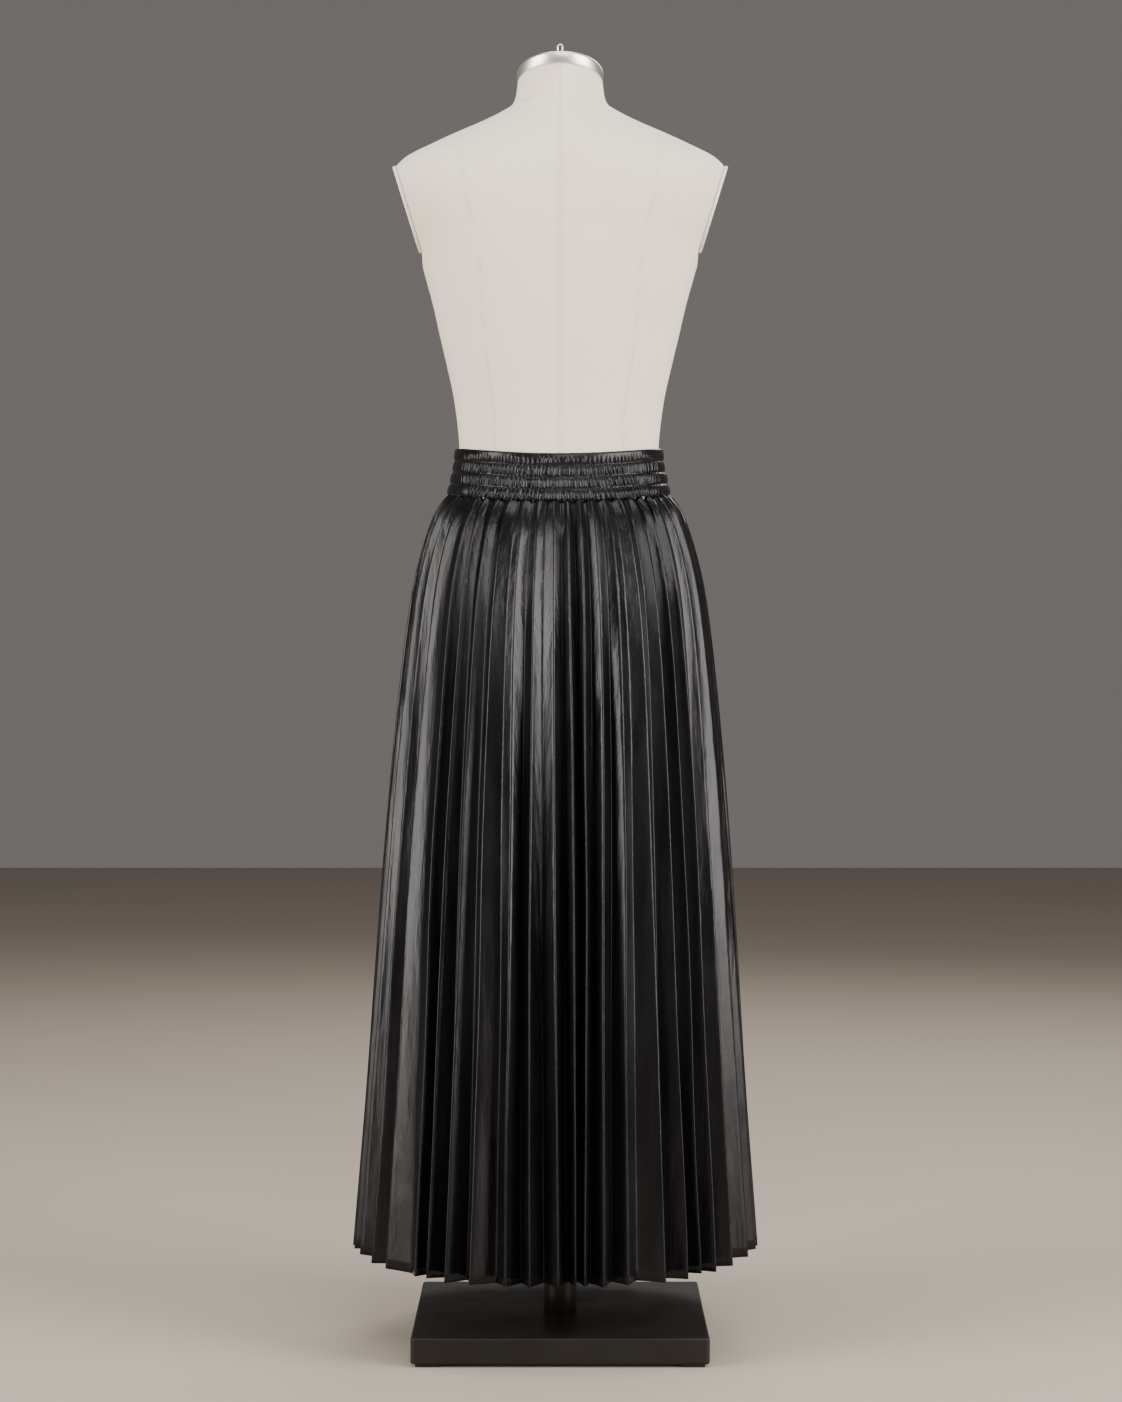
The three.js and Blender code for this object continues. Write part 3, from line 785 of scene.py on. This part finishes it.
def makeStitches(material):
    tree = stitchTree()
    turn = np.linspace(0.012, 2 * np.pi - 0.012, 900)
    points, edges = [], []
    for share in stitchRows:
        first = len(points)
        out = float(levelAt(bandLevels, "share", share)["outside"]) + thread["lift"]
        points += [tuple(p) for p in bandPoint(turn, share + 0 * turn, out + 0 * turn)]
        edges += [(i, i + 1) for i in range(first, len(points) - 1)]
    mesh = bpy.data.meshes.new("stitchLines")
    mesh.from_pydata(points, edges, [])
    source = bpy.data.objects.new("stitchLines", mesh)
    scene.collection.objects.link(source)
    modifier = source.modifiers.new("stitches", "NODES")
    modifier.node_group = tree
    for item in tree.interface.items_tree:
        if item.in_out == "INPUT" and item.name in ("Pitch", "Length", "Width"):
            modifier[item.identifier] = thread[item.name.lower()]
        elif item.in_out == "INPUT" and item.name == "Thread":
            modifier[item.identifier] = material
    bpy.context.view_layer.update()
    made = bpy.data.meshes.new_from_object(source.evaluated_get(bpy.context.evaluated_depsgraph_get()))
    source.modifiers.remove(modifier)
    bpy.data.objects.remove(source)
    made.name = "bandStitches"
    made.polygons.foreach_set("use_smooth", [True] * len(made.polygons))
    piece = bpy.data.objects.new("bandStitches", made)
    scene.collection.objects.link(piece)
    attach(piece, "root")


# The pleated panels.
skirt = {
    "hem": 0.103, "hemRise": 0.009, "hemUneven": 0.002, "thickness": 0.0009,
    "faceAtSeam": 0.011, "faceAtHem": 0.031,
    "unevenAtSeam": 0.4, "shallowest": 0.35, "seamLevel": 0.55,
    "rows": 120, "faceSteps": (0, 0.07, 0.2, 0.4, 0.6, 0.8, 0.93),
    "inset": 0.001, "bow": 0.05, "sway": 0.35, "drawIn": 0.0014, "pucker": 0.0017,
    "flat": (1.415, 0.959), "flatArea": 0.897,
}
skirtLevels = [
    {"share": 0, "side": 0.1315, "back": 0.101, "front": 0.1045, "open": 0.5},
    {"share": 0.01, "side": 0.139, "back": 0.1095, "front": 0.111, "open": 0.75},
    {"share": 0.028, "side": 0.149, "back": 0.120, "front": 0.119, "open": 0.95},
    {"share": 0.07, "side": 0.1622, "back": 0.135, "front": 0.1295, "open": 1},
    {"share": 0.125, "side": 0.1735, "back": 0.151, "front": 0.141, "open": 1},
    {"share": 0.2, "side": 0.1828, "back": 0.165, "front": 0.153, "open": 1},
    {"share": 0.33, "side": 0.1948, "back": 0.182, "front": 0.174, "open": 1},
    {"share": 0.51, "side": 0.2082, "back": 0.202, "front": 0.197, "open": 1},
    {"share": 0.74, "side": 0.2226, "back": 0.220, "front": 0.217, "open": 1},
    {"share": 1, "side": 0.240, "back": 0.236, "front": 0.236, "open": 1},
]
# A row for each pleat of a panel: where its ridge hangs at the hem, in degrees from the
# side seam, and where the valley after it lies between this ridge and the next.
pleats = [
    {"ridge": 2, "valley": 0.5},
    {"ridge": 8.5, "valley": 0.45},
    {"ridge": 17.5, "valley": 0.5},
    {"ridge": 27, "valley": 0.5},
    {"ridge": 35.5, "valley": 0.6},
    {"ridge": 48.5, "valley": 0.5},
    {"ridge": 52.5, "valley": 0.45},
    {"ridge": 58.5, "valley": 0.5},
    {"ridge": 66.5, "valley": 0.6},
    {"ridge": 76.5, "valley": 0.5},
    {"ridge": 83, "valley": 0.45},
    {"ridge": 91, "valley": 0.55},
    {"ridge": 95.5, "valley": 0.5},
    {"ridge": 98, "valley": 0.5},
    {"ridge": 103, "valley": 0.55},
    {"ridge": 110, "valley": 0.4},
    {"ridge": 121, "valley": 0.45},
    {"ridge": 129, "valley": 0.5},
    {"ridge": 134, "valley": 0.5},
    {"ridge": 140, "valley": 0.55},
    {"ridge": 148.5, "valley": 0.5},
    {"ridge": 159, "valley": 0.5},
    {"ridge": 169.5, "valley": 0.55},
    {"ridge": 177, "valley": 0.5},
]


# The folds of a panel, a row of points for each height: seam, ridge, valley ... ridge, seam.
def foldPoints(share, firstTurn, seed):
    count = len(pleats)
    down = share[:, None]
    level = levelAt(skirtLevels, "share", down)
    face = skirt["faceAtSeam"] + (skirt["faceAtHem"] - skirt["faceAtSeam"]) * down
    even = (np.arange(count) + 0.5) * 180 / count
    uneven = skirt["unevenAtSeam"] + (1 - skirt["unevenAtSeam"]) * down
    sway = np.stack([wander(seed + k, 1.3 + 4.5 * share + 7.1 * k) for k in range(count)], axis=1)
    ridges = np.radians(even + (columnOf(pleats, "ridge") - even) * uneven + skirt["sway"] * sway)
    valleyShare = columnOf(pleats, "valley")[:-1]
    valleys = ridges[:, :-1] + (ridges[:, 1:] - ridges[:, :-1]) * valleyShare

    def place(turn, inward):
        whole = firstTurn + turn
        seam = bandHeightAt(whole, 1.0) - gap
        hem = skirt["hem"] + skirt["hemRise"] * np.cos(whole) ** 4
        hem = hem + skirt["hemUneven"] * wander(seed, whole * 9)
        return roundPoints(level, whole, seam + (hem - seam) * down, -inward)

    onRidge = place(ridges, 0)
    apart = np.linalg.norm(onRidge[:, 1:] - onRidge[:, :-1], axis=2)
    lean = np.minimum(apart / 2 / face, 1)
    depth = face * level["open"] * np.sqrt(np.maximum(1 - lean ** 2, skirt["shallowest"] ** 2))
    inset = skirt["inset"]
    drawIn = np.stack([wander(seed + 90 + k, 5 * share + k) for k in range(count)], axis=1)
    drawIn = skirt["drawIn"] * (1 + drawIn) / 2
    seamDepth = inset + face * level["open"] * skirt["seamLevel"]
    folds = np.zeros((len(share), 2 * count + 1, 3))
    folds[:, 0] = place(np.zeros((1, 1)), seamDepth)[:, 0]
    folds[:, -1] = place(np.full((1, 1), np.pi), seamDepth)[:, 0]
    folds[:, 1:-1:2] = place(ridges, inset + drawIn * easeBetween(0, 0.05, down))
    folds[:, 2:-2:2] = place(valleys, inset + depth)
    return folds, face


def panelMiddle(share, firstTurn, seed):
    folds, face = foldPoints(share, firstTurn, seed)
    rows, count = folds.shape[:2]
    steps = np.array(skirt["faceSteps"])
    ahead = folds[:, 1:] - folds[:, :-1]
    length = np.linalg.norm(ahead[..., :2], axis=2, keepdims=True)
    normal = np.stack([ahead[..., 1], -ahead[..., 0]], axis=2) / np.maximum(length, 1e-9)
    bow = np.stack([wander(seed + 200 + i, 2.6 * share + 3.3 * i) for i in range(count - 1)], axis=1)
    bow = skirt["bow"] * (bow - 0.35) * length[..., 0] * easeBetween(0.0, 0.12, share)[:, None]
    points = folds[:, :-1, None, :] + ahead[:, :, None, :] * steps[None, None, :, None]
    points[..., :2] += (normal[:, :, None, :] * bow[:, :, None, None]
                        * np.sin(np.pi * steps)[None, None, :, None])
    points = points.reshape(rows, -1, 3)
    points = np.concatenate([points, folds[:, -1:]], axis=1)
    # round the folds over: crisp below, soft where the cloth is drawn in under the band
    per = len(steps)
    fold = np.arange(per, points.shape[1] - 1, per)
    points[:, fold] = 0.5 * points[:, fold] + 0.25 * (points[:, fold - 1] + points[:, fold + 1])
    soft = (0.25 * (1 - easeBetween(0.01, 0.06, share)))[:, None, None]
    for _ in range(2):
        middle = (points[:, :-2] + points[:, 2:]) / 2
        points[:, 1:-1] += (middle - points[:, 1:-1]) * soft
    across = (np.arange(points.shape[1]) / per)[None, :] * face
    return points, across


# Small puckers where the panel is drawn into the band's seam.
def seamPuckers(share, columns, seed):
    along = np.linspace(0, band["girth"], columns)[None, :]
    down = share[:, None]
    fade = easeBetween(0, 0.004, down) * (1 - easeBetween(0.012, 0.05, down))
    return skirt["pucker"] * fade * (puffs(seed, along + 0.02 * down) + 0.6 * wander(seed + 5, along / 0.004))


def quads(a, b, c, d):
    return np.stack([a, b, c, d], axis=-1).reshape(-1, 4)


def makePanel(name, node, firstTurn, seamSide, seed, material):
    share = np.linspace(0, 1, skirt["rows"]) ** 1.6
    middle, across = panelMiddle(share, firstTurn, seed)
    rows, columns = middle.shape[:2]
    tangent = np.gradient(middle[..., :2], axis=1)
    tangent /= np.maximum(np.linalg.norm(tangent, axis=2, keepdims=True), 1e-9)
    normal = np.stack([tangent[..., 1], -tangent[..., 0]], axis=2)
    middle[..., :2] += normal * seamPuckers(share, columns, seed + 300)[..., None]
    sides = []
    for way in (1, -1):
        wall = middle.copy()
        wall[..., :2] += way * normal * skirt["thickness"] / 2
        wall[:, [0, -1], 1] = seamSide * gap / 2
        sides.append(wall)
    count = rows * columns
    points = np.concatenate([wall.reshape(-1, 3) for wall in sides])
    outer = np.arange(count).reshape(rows, columns)
    inner = outer + count
    faces = np.concatenate([
        quads(outer[1:, :-1], outer[1:, 1:], outer[:-1, 1:], outer[:-1, :-1]),
        quads(inner[:-1, :-1], inner[:-1, 1:], inner[1:, 1:], inner[1:, :-1]),
        quads(outer[0, :-1], outer[0, 1:], inner[0, 1:], inner[0, :-1]),
        quads(inner[-1, :-1], inner[-1, 1:], outer[-1, 1:], outer[-1, :-1]),
        quads(inner[1:, 0], outer[1:, 0], outer[:-1, 0], inner[:-1, 0]),
        quads(outer[1:, -1], inner[1:, -1], inner[:-1, -1], outer[:-1, -1]),
    ])
    length = share[:, None] * (bandHeightAt(0.0, 1.0) - skirt["hem"])
    uv = np.stack(np.broadcast_arrays(across, length), axis=-1).reshape(-1, 2)
    piece = makePiece(name, points, faces.tolist(), material, np.concatenate([uv, uv]))
    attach(piece, "root")
    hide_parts(node)


# The scene.
def makeFloor():
    half = surroundings["floorSize"]
    floor = makePiece("floor", [(-half, -half, 0), (half, -half, 0), (half, half, 0), (-half, half, 0)],
                      [(0, 1, 2, 3)], floorPaint(), smooth=False)


makeCamera()
makeFloor()
makeLights()
print("camera, floor and lights are set")

makeForm(formLinen())
metal = capMetal()
makeNeckCap(metal)
makeCapLoop(metal)
makeArmPlates(plainFinish("platePaint"))
print("form is built")

makeStand(plainFinish("standPaint"), plainFinish("footRubber"))
print("stand is built")

bandCloth = coatedCloth("bandCloth", lift=1.4)
makeBand("bandBack", "waistband_back", 0.0, -1, 11, bandCloth)
makeBand("bandFront", "waistband_front", math.pi, 1, 57, bandCloth)
makeStitches(bandCloth)
print("waistband is built")

skirtCloth = coatedCloth("skirtCloth")
makePanel("skirtBack", "skirt_back_panel", 0.0, -1, 3, skirtCloth)
makePanel("skirtFront", "skirt_front_panel", math.pi, 1, 77, skirtCloth)
print("skirt is built")
